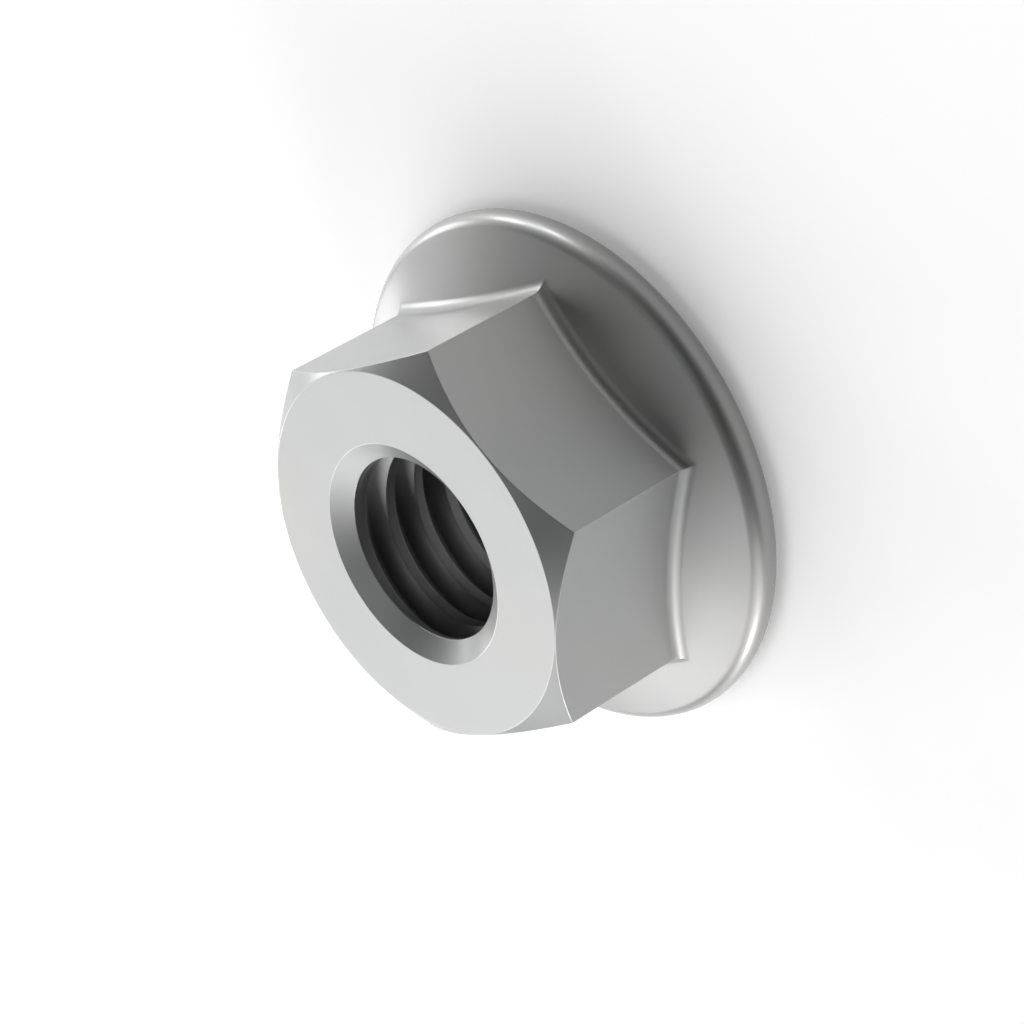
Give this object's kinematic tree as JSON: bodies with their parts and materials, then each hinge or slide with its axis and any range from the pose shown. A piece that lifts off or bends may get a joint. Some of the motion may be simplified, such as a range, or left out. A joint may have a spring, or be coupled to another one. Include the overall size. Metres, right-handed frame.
{
  "type": "serrated flange nut",
  "caption": "Hexagon nut with a wide built-in flange whose underside has ratchet teeth that grip the part it is tightened on.",
  "frame": {"origin": "centre of the bearing plane that the tips of the teeth lie in", "axes": "+Z along the thread's axis, from the bearing face towards the top of the hexagon; +X square to a flat, +Y through a corner of the hexagon"},
  "size_m": [0.0142, 0.0142, 0.006],
  "materials": {
    "zinc_steel": "satin bright zinc plating on cold-formed steel"
  },
  "bodies": {
    "root": {"nut": "zinc_steel"}
  },
  "joints": []
}
